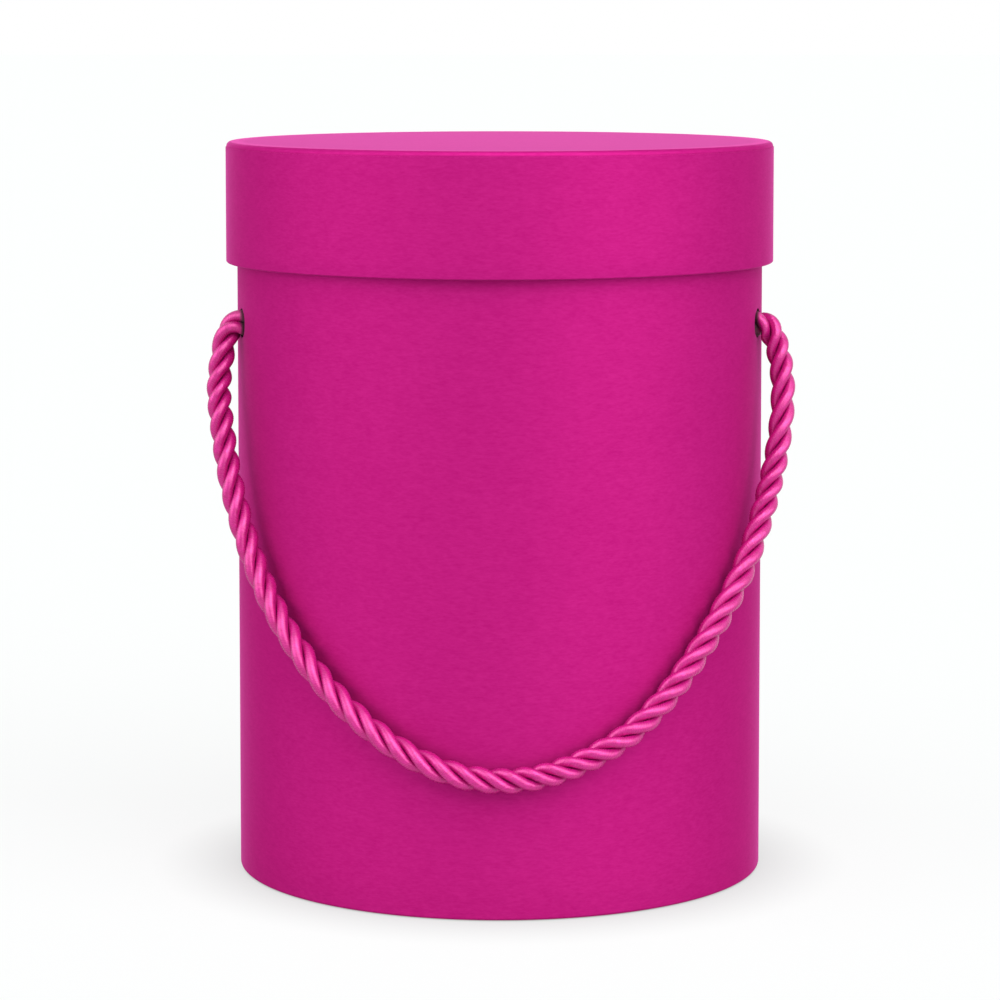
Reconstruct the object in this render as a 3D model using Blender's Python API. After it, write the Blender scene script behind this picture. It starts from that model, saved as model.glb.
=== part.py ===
"""Round flower box: a rigid hat box in one colour, with a lift-off lid and a twisted rope handle.

The body and the lid are rolled and cut from greyboard, wrapped outside in paper that is turned in
over the edges, and lined inside with paper. The rope passes through one hole in each side of the
body and is held by an overhand knot inside each hole. Metres, +Z up, the front of the box towards
-Y, and the origin at the middle of the underside.
"""

import math

import bmesh
import bpy
import numpy as np
from mathutils import Vector

# The whole box
BODY_DIAMETER = 0.180
BOX_HEIGHT = 0.250
LID_DEPTH = 0.0405
LID_CLEARANCE = 0.0010

# The sheets that it is made of
WALL_BOARD = 0.0018
DISC_BOARD = 0.0020
PAPER = 0.0002
GLUE_LINE = 0.00005
SEAT_GAP = 0.0003

# Edges pressed round before they are wrapped
BODY_EDGE_ROUND = 0.0008
LID_TOP_ROUND = 0.0014
LID_HEM_ROUND = 0.0008

# How far the papers reach
BODY_TURN_IN = 0.016
BASE_TURN_IN = 0.014
LID_TURN_IN = 0.014
LID_TURN_DOWN = 0.012
SKIRT_SETBACK = 0.0019
LINING_SETBACK = 0.004
BASE_SHEET_SETBACK = 0.004

# The two holes, drilled through on one line along X, forward of the middle
HOLE_DIAMETER = 0.0100
HOLE_FORWARD = 0.021
HOLE_HEIGHT = 0.189

# The rope
ROPE_DIAMETER = 0.0084
ROPE_WALL_LEAD = 0.0010
TAIL_LENGTH = 0.014
KNOT_SLACK = 0.0006
KNOT_WALL_GAP = 0.0005

# The middle line of the rope's free stretch, left hole to right hole, as it hangs against the front
HANDLE_ROUTE = (
    (-0.0896, -0.0211, 0.1883),
    (-0.0919, -0.0213, 0.1862),
    (-0.0929, -0.0218, 0.1830),
    (-0.0937, -0.0234, 0.1786),
    (-0.0944, -0.0251, 0.1733),
    (-0.0947, -0.0275, 0.1665),
    (-0.0937, -0.0309, 0.1572),
    (-0.0917, -0.0353, 0.1447),
    (-0.0889, -0.0398, 0.1325),
    (-0.0846, -0.0454, 0.1190),
    (-0.0783, -0.0540, 0.1046),
    (-0.0700, -0.0641, 0.0908),
    (-0.0588, -0.0745, 0.0772),
    (-0.0450, -0.0836, 0.0648),
    (-0.0290, -0.0904, 0.0547),
    (-0.0105, -0.0943, 0.0484),
    (0.0085, -0.0945, 0.0478),
    (0.0270, -0.0910, 0.0528),
    (0.0440, -0.0841, 0.0622),
    (0.0585, -0.0747, 0.0762),
    (0.0700, -0.0641, 0.0914),
    (0.0792, -0.0525, 0.1058),
    (0.0861, -0.0424, 0.1208),
    (0.0905, -0.0362, 0.1345),
    (0.0935, -0.0319, 0.1470),
    (0.0952, -0.0284, 0.1585),
    (0.0957, -0.0258, 0.1672),
    (0.0953, -0.0240, 0.1738),
    (0.0945, -0.0227, 0.1788),
    (0.0933, -0.0217, 0.1832),
    (0.0919, -0.0213, 0.1862),
    (0.0896, -0.0211, 0.1883),
)

# An overhand knot pulled tight, as shares of the spacing of its turns. With v from -1 to 1 along the
# knot, the line travels a v + b v^3 + c v^5 along the rope's axis, turns d v + e v^3 radians about it,
# and lies off it by the reach times (1 - |v|^belly)^neck.
KNOT_TRAVEL_SHARES = (-4.7, 10.2, -4.3)
KNOT_TURNS = (5.35, -0.5)
KNOT_REACH_SHARE = 1.13
KNOT_BELLY_POWER = 8
KNOT_NECK_POWER = 3
KNOT_LOBE_SHARE = 1.27

# Counts
ROUND_STEPS = 64
CORNER_STEPS = 2
HOLE_STEPS = 32
ROUTE_STEPS = 2
KNOT_POINTS = 57
ROPE_SIDES = 10
KNOT_SIDES = 8

OVERRUN = 0.010
WELD = 0.000001
SHARP_ANGLE = math.radians(40)

# Radii of the body, from the outside in
body_radius = BODY_DIAMETER / 2
body_board_outer = body_radius - PAPER - GLUE_LINE
body_board_inner = body_board_outer - WALL_BOARD
body_lining_outer = body_board_inner - GLUE_LINE - PAPER - GLUE_LINE
body_lining_inner = body_lining_outer - PAPER

# Heights of the body, from the floor up
base_wrap_inner = PAPER + GLUE_LINE + PAPER
body_board_bottom = base_wrap_inner + GLUE_LINE
base_board_top = body_board_bottom + DISC_BOARD
lid_ceiling = BOX_HEIGHT - PAPER - GLUE_LINE - DISC_BOARD - GLUE_LINE - PAPER
body_rim = lid_ceiling - SEAT_GAP
body_board_top = body_rim - PAPER - GLUE_LINE

# Radii of the lid, from its lining, which clears the body, out to its skirt
lid_lining_inner = body_radius + LID_CLEARANCE
lid_lining_outer = lid_lining_inner + PAPER
lid_board_inner = lid_lining_outer + GLUE_LINE + PAPER + GLUE_LINE
lid_board_outer = lid_board_inner + WALL_BOARD
lid_turn_down_inner = lid_board_outer + GLUE_LINE
lid_skirt_inner = lid_turn_down_inner + PAPER + GLUE_LINE

# Heights of the lid
lid_hem = BOX_HEIGHT - LID_DEPTH
lid_board_bottom = lid_hem + PAPER + GLUE_LINE
lid_disc_bottom = lid_ceiling + PAPER + GLUE_LINE
lid_disc_top = lid_disc_bottom + DISC_BOARD

# The rope's line through the holes, and where each knot can turn about it without touching the wall
rope_radius = ROPE_DIAMETER / 2
wall_reach = body_lining_inner - rope_radius - KNOT_WALL_GAP
hole_inner_mouth = math.sqrt(body_lining_inner**2 - HOLE_FORWARD**2)
bend_start = math.sqrt(body_radius**2 - HOLE_FORWARD**2) - ROPE_WALL_LEAD
knot_spacing = ROPE_DIAMETER + KNOT_SLACK
knot_reach = KNOT_REACH_SHARE * knot_spacing
lobe_limit = math.sqrt(wall_reach**2 - (HOLE_FORWARD + knot_reach) ** 2)
knot_centre = lobe_limit - KNOT_LOBE_SHARE * knot_spacing
knot_half = sum(KNOT_TRAVEL_SHARES) * knot_spacing
knot_neck = hole_inner_mouth - knot_centre


def clear_scene():
    for obj in list(bpy.data.objects):
        bpy.data.objects.remove(obj, do_unlink=True)


def make_material(name, colour, roughness):
    """A matt or satin dyed surface, never metallic; colour is linear red, green, blue."""
    material = bpy.data.materials.new(name)
    material.use_nodes = True
    shader = material.node_tree.nodes["Principled BSDF"]
    shader.inputs["Base Color"].default_value = (*colour, 1)
    shader.inputs["Roughness"].default_value = roughness
    shader.inputs["Metallic"].default_value = 0
    material.diffuse_color = (*colour, 1)
    return material


def make_frame(name, place):
    """An empty that carries the pieces of one body; place is in metres from the box's origin."""
    frame = bpy.data.objects.new(name, None)
    frame.location = place
    bpy.context.collection.objects.link(frame)
    return frame


def rounded(corners, radii):
    """The corners joined in order, each with a radius over zero cut to an arc of CORNER_STEPS chords."""
    points = []
    for index, (corner, radius) in enumerate(zip(corners, radii)):
        corner = Vector(corner)
        if radius == 0:
            points.append(corner)
            continue
        before = (Vector(corners[index - 1]) - corner).normalized()
        after = (Vector(corners[(index + 1) % len(corners)]) - corner).normalized()
        half = before.angle(after) / 2
        centre = corner + (before + after).normalized() * radius / math.sin(half)
        start = corner + before * radius / math.tan(half) - centre
        end = corner + after * radius / math.tan(half) - centre
        for step in range(CORNER_STEPS + 1):
            share = step / CORNER_STEPS
            spoke = start.slerp(end, share).normalized()
            points.append(centre + spoke * radius)
    return points


def sheet(path, thickness):
    """The outline of a sheet to the right of a path as it runs, or to the left if thickness is negative."""
    spans = [(after - before).normalized() for before, after in zip(path, path[1:])]
    normals = [Vector((span.y, -span.x)) for span in spans]
    outer = []
    for point, before, after in zip(path, normals[:1] + normals, normals + normals[-1:]):
        mitre = before + after
        outer.append(point + mitre * (2 * thickness / mitre.length_squared))
    return path + outer[::-1]


def turned(name, outline, material, parent):
    """A solid turned about Z from an outline of radii and heights, which may start and end on Z."""
    shape = bmesh.new()
    rim = [shape.verts.new((radius, 0, height)) for radius, height in outline]
    edges = [shape.edges.new(pair) for pair in zip(rim, rim[1:])]
    if outline[0][0] > 0:
        edges.append(shape.edges.new((rim[-1], rim[0])))
    bmesh.ops.spin(
        shape,
        geom=rim + edges,
        cent=(0, 0, 0),
        axis=(0, 0, 1),
        angle=2 * math.pi,
        steps=ROUND_STEPS,
        use_merge=True,
    )
    bmesh.ops.remove_doubles(shape, verts=shape.verts, dist=WELD)
    bmesh.ops.recalc_face_normals(shape, faces=shape.faces)
    mesh = bpy.data.meshes.new(name)
    shape.to_mesh(mesh)
    shape.free()
    mesh.shade_smooth()
    mesh.set_sharp_from_angle(angle=SHARP_ANGLE)
    mesh.materials.append(material)
    return add_piece(name, mesh, parent)


def add_piece(name, data, parent):
    piece = bpy.data.objects.new(name, data)
    piece.parent = parent
    bpy.context.collection.objects.link(piece)
    return piece


def disc(name, radius, bottom, thickness, material, parent):
    top = bottom + thickness
    return turned(name, [(0, bottom), (radius, bottom), (radius, top), (0, top)], material, parent)


def paper_tube(name, outer, bottom, top, material, parent):
    """A strip of paper rolled to a tube of the given outer radius."""
    inner = outer - PAPER
    outline = [(outer, bottom), (outer, top), (inner, top), (inner, bottom)]
    return turned(name, outline, material, parent)


def make_hole_cutter(parent):
    """One round bar along X, through both sides of the body at the holes' place."""
    shape = bmesh.new()
    bmesh.ops.create_cone(
        shape,
        cap_ends=True,
        segments=HOLE_STEPS,
        radius1=HOLE_DIAMETER / 2,
        radius2=HOLE_DIAMETER / 2,
        depth=BODY_DIAMETER + 2 * OVERRUN,
    )
    mesh = bpy.data.meshes.new("hole_cutter")
    shape.to_mesh(mesh)
    shape.free()
    cutter = add_piece("hole_cutter", mesh, parent)
    cutter.location = (0, -HOLE_FORWARD, HOLE_HEIGHT)
    cutter.rotation_euler = (0, math.radians(90), 0)
    cutter.hide_render = True
    cutter.display_type = "WIRE"
    return cutter


def cut_holes(piece, cutter):
    cut = piece.modifiers.new("rope_holes", "BOOLEAN")
    cut.operation = "DIFFERENCE"
    cut.object = cutter


def make_body(frame, board, paper, lining):
    """The greyboard tube and its base disc, wrapped in one sheet outside and lined with paper inside."""
    body_board = turned(
        "body_board",
        rounded(
            [
                (body_board_outer, body_board_bottom),
                (body_board_outer, body_board_top),
                (body_board_inner, body_board_top),
                (body_board_inner, body_board_bottom),
            ],
            [BODY_EDGE_ROUND, BODY_EDGE_ROUND, BODY_EDGE_ROUND, 0],
        ),
        board,
        frame,
    )
    outside = body_board_outer + GLUE_LINE
    inside = body_board_inner - GLUE_LINE
    under = body_board_bottom - GLUE_LINE
    over = body_board_top + GLUE_LINE
    turn = BODY_EDGE_ROUND + GLUE_LINE
    wrap = rounded(
        [
            (outside - BASE_TURN_IN, under),
            (outside, under),
            (outside, over),
            (inside, over),
            (inside, over - BODY_TURN_IN),
        ],
        [0, turn, turn, turn, 0],
    )
    body_cover = turned("body_cover", sheet(wrap, PAPER), paper, frame)
    floor = base_board_top + GLUE_LINE
    lining_top = body_rim - LINING_SETBACK
    body_lining = paper_tube("body_lining", body_lining_outer, floor, lining_top, lining, frame)
    disc("base_board", body_board_inner - GLUE_LINE, body_board_bottom, DISC_BOARD, board, frame)
    disc("base_cover", body_radius - BASE_SHEET_SETBACK, 0, PAPER, paper, frame)
    disc("base_lining", body_lining_inner - GLUE_LINE, floor, PAPER, lining, frame)
    cutter = make_hole_cutter(frame)
    for piece in (body_board, body_cover, body_lining):
        cut_holes(piece, cutter)


def make_lid(frame, board, paper, lining):
    """The shallow greyboard tube and its disc, with a top sheet turned down under the skirt's strip."""
    turned(
        "lid_rim_board",
        rounded(
            [
                (lid_board_outer, lid_board_bottom),
                (lid_board_outer, lid_disc_bottom - GLUE_LINE),
                (lid_board_inner, lid_disc_bottom - GLUE_LINE),
                (lid_board_inner, lid_board_bottom),
            ],
            [LID_HEM_ROUND, 0, 0, LID_HEM_ROUND],
        ),
        board,
        frame,
    )
    turned(
        "lid_top_board",
        rounded(
            [
                (0, lid_disc_bottom),
                (lid_board_outer, lid_disc_bottom),
                (lid_board_outer, lid_disc_top),
                (0, lid_disc_top),
            ],
            [0, 0, LID_TOP_ROUND, 0],
        ),
        board,
        frame,
    )
    over = lid_disc_top + GLUE_LINE
    top_sheet = rounded(
        [(0, over), (lid_turn_down_inner, over), (lid_turn_down_inner, over - LID_TURN_DOWN)],
        [0, LID_TOP_ROUND + GLUE_LINE, 0],
    )
    turned("lid_top_cover", sheet(top_sheet, -PAPER), paper, frame)
    inside = lid_board_inner - GLUE_LINE
    under = lid_board_bottom - GLUE_LINE
    inner_turn = LID_HEM_ROUND + GLUE_LINE
    skirt = rounded(
        [
            (inside, under + LID_TURN_IN),
            (inside, under),
            (lid_skirt_inner, under),
            (lid_skirt_inner, BOX_HEIGHT - SKIRT_SETBACK),
        ],
        [0, inner_turn, inner_turn + lid_skirt_inner - lid_turn_down_inner, 0],
    )
    turned("lid_skirt_cover", sheet(skirt, PAPER), paper, frame)
    lining_bottom = lid_hem + LINING_SETBACK
    lining_top = lid_disc_bottom - GLUE_LINE
    paper_tube("lid_rim_lining", lid_lining_outer, lining_bottom, lining_top, lining, frame)
    disc("lid_top_lining", lid_lining_inner - GLUE_LINE, lid_ceiling, PAPER, lining, frame)


def smooth_line(route, steps):
    """Points on the natural cubic curve through the route's points, with the given steps to each span."""
    route = np.array(route)
    spans = np.linalg.norm(np.diff(route, axis=0), axis=1)
    slopes = np.diff(route, axis=0) / spans[:, None]
    system = np.diag(np.concatenate(([1], 2 * (spans[:-1] + spans[1:]), [1])))
    system += np.diag(np.concatenate(([0], spans[1:])), 1)
    system += np.diag(np.concatenate((spans[:-1], [0])), -1)
    turning = np.zeros_like(route)
    turning[1:-1] = 6 * np.diff(slopes, axis=0)
    bends = np.linalg.solve(system, turning)
    share = (np.arange(steps) / steps)[None, :, None]
    rest = 1 - share
    pull = spans[:, None, None] ** 2 / 6
    line = rest * route[:-1, None] + share * route[1:, None]
    line += pull * ((rest**3 - rest) * bends[:-1, None] + (share**3 - share) * bends[1:, None])
    return np.concatenate((line.reshape(-1, 3), route[-1:]))


def rope_curve(name, line, sides, material):
    """A round tube of the rope's diameter along a line of points, with closed ends."""
    curve = bpy.data.curves.new(name, "CURVE")
    curve.dimensions = "3D"
    curve.bevel_depth = rope_radius
    # A resolution of 0 gives 4 sides, and each step more adds 2
    curve.bevel_resolution = sides // 2 - 2
    curve.use_fill_caps = True
    spline = curve.splines.new("POLY")
    spline.points.add(len(line) - 1)
    spline.points.foreach_set("co", np.hstack((line, np.ones((len(line), 1)))).ravel())
    spline.use_smooth = True
    curve.materials.append(material)
    return curve


def knot_line():
    """Neck, knot and tail along +X, about the knot's middle; the neck comes from the wall at -X."""
    share = np.linspace(-1, 1, KNOT_POINTS)
    first, second, third = KNOT_TRAVEL_SHARES
    travel = knot_spacing * (first * share + second * share**3 + third * share**5)
    angle = KNOT_TURNS[0] * share + KNOT_TURNS[1] * share**3
    reach = knot_reach * (1 - np.abs(share) ** KNOT_BELLY_POWER) ** KNOT_NECK_POWER
    knot = np.stack((travel, -reach * np.cos(angle), -reach * np.sin(angle)), axis=1)
    neck = np.array([[-knot_neck, 0, 0]])
    tail = np.array([[knot_half + TAIL_LENGTH, 0, 0]])
    return np.concatenate((neck, knot, tail))


def length_along(line):
    """The length from the line's first point to each of its points."""
    return np.concatenate(([0], np.cumsum(np.linalg.norm(np.diff(line, axis=0), axis=1))))


def least_gap(line):
    """The least air between stretches of the tube that lie more than two diameters apart along it."""
    along = length_along(line)
    apart = np.abs(along[:, None] - along[None, :]) > 2 * ROPE_DIAMETER
    distance = np.linalg.norm(line[:, None] - line[None, :], axis=2)
    return distance[apart].min() - ROPE_DIAMETER


def make_handle(hinge, rope):
    """The rope: its free stretch through both holes, and the same knot inside each of them."""
    start = hole_inner_mouth + SEAT_GAP
    left_end = [(-start, 0, 0), (-bend_start, 0, 0)]
    right_end = [(bend_start, 0, 0), (start, 0, 0)]
    hanging = np.array(HANDLE_ROUTE) - hinge.location
    line = smooth_line(np.concatenate((left_end, hanging, right_end)), ROUTE_STEPS)
    add_piece("rope_handle", rope_curve("rope_handle", line, ROPE_SIDES, rope), hinge)
    wound = knot_line()
    knot = rope_curve("rope_knot", wound, KNOT_SIDES, rope)
    left_knot = add_piece("left_knot", knot, hinge)
    left_knot.location = (-knot_centre, 0, 0)
    right_knot = add_piece("right_knot", knot, hinge)
    right_knot.location = (knot_centre, 0, 0)
    right_knot.rotation_euler = (0, 0, math.pi)
    print(f"rope between the knots: {length_along(line)[-1]:.4f} m")
    print(f"rope in each knot and tail: {length_along(wound)[-1]:.4f} m")
    print(f"least gap in a knot: {least_gap(wound):.5f} m")


clear_scene()
greyboard = make_material("greyboard", (0.30, 0.27, 0.23), 0.9)
magenta_paper = make_material("magenta_paper", (0.50, 0.012, 0.20), 0.55)
lining_paper = make_material("lining_paper", (0.80, 0.78, 0.74), 0.8)
magenta_rope = make_material("magenta_rope", (0.66, 0.02, 0.29), 0.4)
body_frame = make_frame("body_frame", (0, 0, 0))
lid_lift = make_frame("lid_lift", (0, 0, 0))
handle_hinge = make_frame("handle_hinge", (0, -HOLE_FORWARD, HOLE_HEIGHT))
make_body(body_frame, greyboard, magenta_paper, lining_paper)
make_lid(lid_lift, greyboard, magenta_paper, lining_paper)
make_handle(handle_hinge, magenta_rope)
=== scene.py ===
import math

import bmesh
import bpy
import numpy as np
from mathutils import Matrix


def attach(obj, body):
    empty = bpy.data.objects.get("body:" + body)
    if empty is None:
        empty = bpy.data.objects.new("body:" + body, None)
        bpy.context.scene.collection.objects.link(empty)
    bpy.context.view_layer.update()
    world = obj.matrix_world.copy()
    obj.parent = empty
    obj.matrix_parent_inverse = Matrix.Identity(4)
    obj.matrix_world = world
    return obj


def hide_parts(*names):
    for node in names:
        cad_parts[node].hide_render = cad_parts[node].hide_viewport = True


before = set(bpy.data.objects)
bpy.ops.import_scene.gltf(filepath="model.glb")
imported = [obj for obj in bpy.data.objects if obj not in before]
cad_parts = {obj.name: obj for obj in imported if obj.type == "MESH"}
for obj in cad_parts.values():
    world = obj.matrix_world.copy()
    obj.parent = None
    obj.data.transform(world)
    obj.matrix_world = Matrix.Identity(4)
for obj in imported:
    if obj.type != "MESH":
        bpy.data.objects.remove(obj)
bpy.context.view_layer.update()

# The camera stands in front of the box, a little above the lid, and looks down by 4.9 degrees, with
# its picture shifted so that the box's sides stay upright, as in the photograph. Places are in
# metres from the middle of the box's underside, with the front at -Y.
camera_data = bpy.data.cameras.new("camera")
camera_data.sensor_width = 36
camera_data.lens = 132.41
camera_data.shift_y = -0.1805
camera_data.clip_end = 100
camera = bpy.data.objects.new("camera", camera_data)
camera.location = (0.0001, -1.26194, 0.29699)
camera.rotation_euler = (math.radians(90 - 4.919), 0, 0)
bpy.context.collection.objects.link(camera)
bpy.context.scene.camera = camera


# The rope handle: three strands of satin yarn laid right-handed round each other. It comes out of a
# hole in each side of the body and hangs down across the front. The strands lie wider apart along
# it in some places than in others, as they do in a rope that has been handled.

HOLE_FORWARD = 0.021
HOLE_HEIGHT = 0.189
BODY_RADIUS = 0.090
BODY_LINING_INNER = 0.08745
ROPE_WALL_LEAD = 0.001
ROPE_DIAMETER = 0.0084

# The middle line of the free stretch, left hole to right hole, as in the part's source
ROPE_ROUTE = (
    (-0.0896, -0.0211, 0.1883),
    (-0.0919, -0.0213, 0.1862),
    (-0.0929, -0.0218, 0.1830),
    (-0.0937, -0.0234, 0.1786),
    (-0.0944, -0.0251, 0.1733),
    (-0.0947, -0.0275, 0.1665),
    (-0.0937, -0.0309, 0.1572),
    (-0.0917, -0.0353, 0.1447),
    (-0.0889, -0.0398, 0.1325),
    (-0.0846, -0.0454, 0.1190),
    (-0.0783, -0.0540, 0.1046),
    (-0.0700, -0.0641, 0.0908),
    (-0.0588, -0.0745, 0.0772),
    (-0.0450, -0.0836, 0.0648),
    (-0.0290, -0.0904, 0.0547),
    (-0.0105, -0.0943, 0.0484),
    (0.0085, -0.0945, 0.0478),
    (0.0270, -0.0910, 0.0528),
    (0.0440, -0.0841, 0.0622),
    (0.0585, -0.0747, 0.0762),
    (0.0700, -0.0641, 0.0914),
    (0.0792, -0.0525, 0.1058),
    (0.0861, -0.0424, 0.1208),
    (0.0905, -0.0362, 0.1345),
    (0.0935, -0.0319, 0.1470),
    (0.0952, -0.0284, 0.1585),
    (0.0957, -0.0258, 0.1672),
    (0.0953, -0.0240, 0.1738),
    (0.0945, -0.0227, 0.1788),
    (0.0933, -0.0217, 0.1832),
    (0.0919, -0.0213, 0.1862),
    (0.0896, -0.0211, 0.1883),
)

# Each further full turn of the strands ends at the next of these distances along the rope
TURN_ENDS = (
    -0.0118, 0.0168, 0.0385, 0.0629, 0.0897, 0.1185, 0.1474, 0.1765, 0.2032, 0.2248,
    0.2454, 0.2689, 0.2939, 0.3218, 0.3495, 0.3720, 0.3983, 0.4180, 0.4360,
)
FIRST_TURN = 0.077
# The length that a turn is given where a curve runs through the turns
TURN_LENGTH = 0.02
CURVE_STEPS = 12

# How far a strand's middle lies off the rope's, its egg's two depths and half width, the gap to its
# neighbours, the points round it, its lay, how sharp its corners are, and how near its rings stand
STRAND_OFFSET = 0.00235
STRAND_OUTER = 0.00185
STRAND_INNER = 0.00225
STRAND_WIDE = 0.0021
STRAND_GAP = 0.00003
STRAND_SIDES = 20
STRAND_LAY = 0.0257
CORNER_POWER = 12
RING_SPACING = 0.0007
# The least slope towards a neighbour's plane, for directions that never meet it
PLANE_LEAST = 0.01
# How much fuller the rope lies in its hole, and how far along it that reaches
WALL_FULLNESS = 1.14
FULL_LENGTH = 0.013

STRANDS_APART = 0.5
MERGE_DISTANCE = 1e-6
CREASE = math.radians(40)


def smooth_line(route, steps):
    """The natural cubic curve through the route's points: between two points it is their straight
    mix plus the cubes of the shares times the bends there, which make slope and bend run on."""
    route = np.array(route, dtype=float)
    spans = np.linalg.norm(np.diff(route, axis=0), axis=1)
    slopes = np.diff(route, axis=0) / spans[:, None]
    system = np.diag(np.concatenate(([1], 2 * (spans[:-1] + spans[1:]), [1])))
    system += np.diag(np.concatenate(([0], spans[1:])), 1)
    system += np.diag(np.concatenate((spans[:-1], [0])), -1)
    turning = np.zeros_like(route)
    turning[1:-1] = 6 * np.diff(slopes, axis=0)
    bends = np.linalg.solve(system, turning)
    share = (np.arange(steps) / steps)[None, :, None]
    rest = 1 - share
    pull = spans[:, None, None] ** 2 / 6
    line = rest * route[:-1, None] + share * route[1:, None]
    line += pull * ((rest**3 - rest) * bends[:-1, None] + (share**3 - share) * bends[1:, None])
    return np.concatenate((line.reshape(-1, 3), route[-1:]))


def length_along(line):
    """The sum of the straight steps from the line's first point to each of its points."""
    return np.concatenate(([0], np.cumsum(np.linalg.norm(np.diff(line, axis=0), axis=1))))


def evenly_spaced(line, *others):
    """The distances to points about one ring spacing apart along the line, then the line at those
    points, and then each other thing given for the line's own points, all by straight mixing."""
    along = length_along(line)
    places = np.linspace(0, along[-1], int(round(along[-1] / RING_SPACING)) + 1)
    even = [
        np.stack([np.interp(places, along, part[:, axis]) for axis in range(3)], axis=1)
        for part in (line, *others)
    ]
    return places, *even


def unit(vectors):
    """The vectors, each divided by its length."""
    return vectors / np.linalg.norm(vectors, axis=-1, keepdims=True)


def directions_along(line, outward):
    """Two unit directions at each point: the outward one laid square to the line, and the cross
    product of the line's own direction with it."""
    ahead = unit(np.gradient(line, axis=0))
    out = unit(outward - (outward * ahead).sum(axis=1, keepdims=True) * ahead)
    return out, np.cross(ahead, out)


def strand_places(line, out, across, angles, swell, fullness):
    """Rings of places for the three strands. Strand k's middle lies off the line at the angle plus
    k thirds of a turn. Round that middle each ring is an egg: half an ellipse outwards, a longer
    half inwards, cut by the two planes at 60 degrees that part it from its neighbours. The reach is
    the smaller of egg and plane, with the corner rounded: the sum of both to minus the corner
    power, taken back to its root. Ring by ring, swell scales the egg and fullness the whole
    rope."""
    round_strand = np.linspace(-math.pi, math.pi, STRAND_SIDES + 1)
    depth = np.where(np.abs(round_strand) < math.pi / 2, STRAND_OUTER, STRAND_INNER)
    deep, wide = np.cos(round_strand) / depth, np.sin(round_strand) / STRAND_WIDE
    egg = 1 / np.sqrt(deep**2 + wide**2)
    to_plane = np.maximum(np.cos(np.abs(round_strand) - math.radians(150)), PLANE_LEAST)
    plane = (STRAND_OFFSET * math.sin(math.radians(60)) - STRAND_GAP) / to_plane
    ring = (egg**-CORNER_POWER + plane**-CORNER_POWER) ** (-1 / CORNER_POWER)
    turn = angles[None, :] + np.radians([0, 120, 240])[:, None]
    outward = np.cos(turn)[..., None] * out + np.sin(turn)[..., None] * across
    sideways = -np.sin(turn)[..., None] * out + np.cos(turn)[..., None] * across
    middle = line + STRAND_OFFSET * fullness[:, None] * outward
    reach = ring[None, None, :, None] * (swell * fullness)[None, :, None, None]
    spoke = np.cos(round_strand)[:, None] * outward[:, :, None]
    spoke = spoke + np.sin(round_strand)[:, None] * sideways[:, :, None]
    places = middle[:, :, None] + reach * spoke
    start = np.broadcast_to(middle[:, :1, None], places[:, :1].shape)
    end = np.broadcast_to(middle[:, -1:, None], places[:, :1].shape)
    return np.concatenate((start, places, end), axis=1)


def fullness_from(wall_distance, length):
    """Next to its hole the rope lies fuller: 1 from the length on, the wall's fullness at the wall,
    and a smooth step between them."""
    near = np.clip(1 - wall_distance / length, 0, 1)
    return 1 + (WALL_FULLNESS - 1) * near * near * (3 - 2 * near)


def strand_marks(along):
    """For each place of the rings: the distance along the strand, and the distance round it. The
    three strands start half a metre apart, so that no two show the same yarns."""
    climb = 2 * math.pi * STRAND_OFFSET / STRAND_LAY
    lengthways = np.concatenate((along[:1], along, along[-1:])) * math.hypot(1, climb)
    round_strand = np.linspace(0, 2 * math.pi * STRAND_WIDE, STRAND_SIDES + 1)
    marks = np.stack(np.meshgrid(lengthways, round_strand, indexing="ij"), axis=-1)
    strands = np.arange(3)[:, None, None, None] * np.array([STRANDS_APART, 0])
    return marks[None] + strands


def grid_piece(name, places, material, body, marks=None, keep=None):
    """A mesh with a place for each point of one or more grids, rows by columns, and a four-sided
    face between each four neighbours. Places that meet are merged, which closes seams and poles.
    keep says which faces are there, and marks gives each place its two numbers in the UV map."""
    corner = np.arange(places[..., 0].size).reshape(places.shape[:-1])
    sides = (corner[..., :-1, :-1], corner[..., :-1, 1:], corner[..., 1:, 1:], corner[..., 1:, :-1])
    faces = np.stack(sides, axis=-1)
    faces = faces.reshape(-1, 4) if keep is None else faces[keep]
    mesh = bpy.data.meshes.new(name)
    mesh.from_pydata(places.reshape(-1, 3).tolist(), [], faces.tolist())
    if marks is not None:
        layer = mesh.uv_layers.new(name="surface")
        layer.data.foreach_set("uv", marks.reshape(-1, 2)[faces.ravel()].ravel())
    shape = bmesh.new()
    shape.from_mesh(mesh)
    bmesh.ops.remove_doubles(shape, verts=shape.verts, dist=MERGE_DISTANCE)
    bmesh.ops.delete(shape, geom=[v for v in shape.verts if not v.link_faces], context="VERTS")
    shape.to_mesh(mesh)
    shape.free()
    mesh.shade_smooth()
    mesh.set_sharp_from_angle(angle=CREASE)
    mesh.materials.append(material)
    piece = bpy.data.objects.new(name, mesh)
    bpy.context.collection.objects.link(piece)
    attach(piece, body)
    return piece


def new_group(name, inputs, outputs):
    """An empty node group with number, colour or vector sockets, and its input and output nodes."""
    group = bpy.data.node_groups.new(name, "ShaderNodeTree")
    for label, kind, value in inputs:
        socket = group.interface.new_socket(name=label, in_out="INPUT", socket_type=kind)
        if value is not None:
            socket.default_value = value
    for label, kind in outputs:
        group.interface.new_socket(name=label, in_out="OUTPUT", socket_type=kind)
    return group, group.nodes.new("NodeGroupInput"), group.nodes.new("NodeGroupOutput")


def add_math(tree, operation, *values):
    """A Math node's result; each value is a number or the socket that gives it."""
    node = tree.nodes.new("ShaderNodeMath")
    node.operation = operation
    for socket, value in zip(node.inputs, values):
        if isinstance(value, (int, float)):
            socket.default_value = value
        else:
            tree.links.new(value, socket)
    return node.outputs[0]


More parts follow.
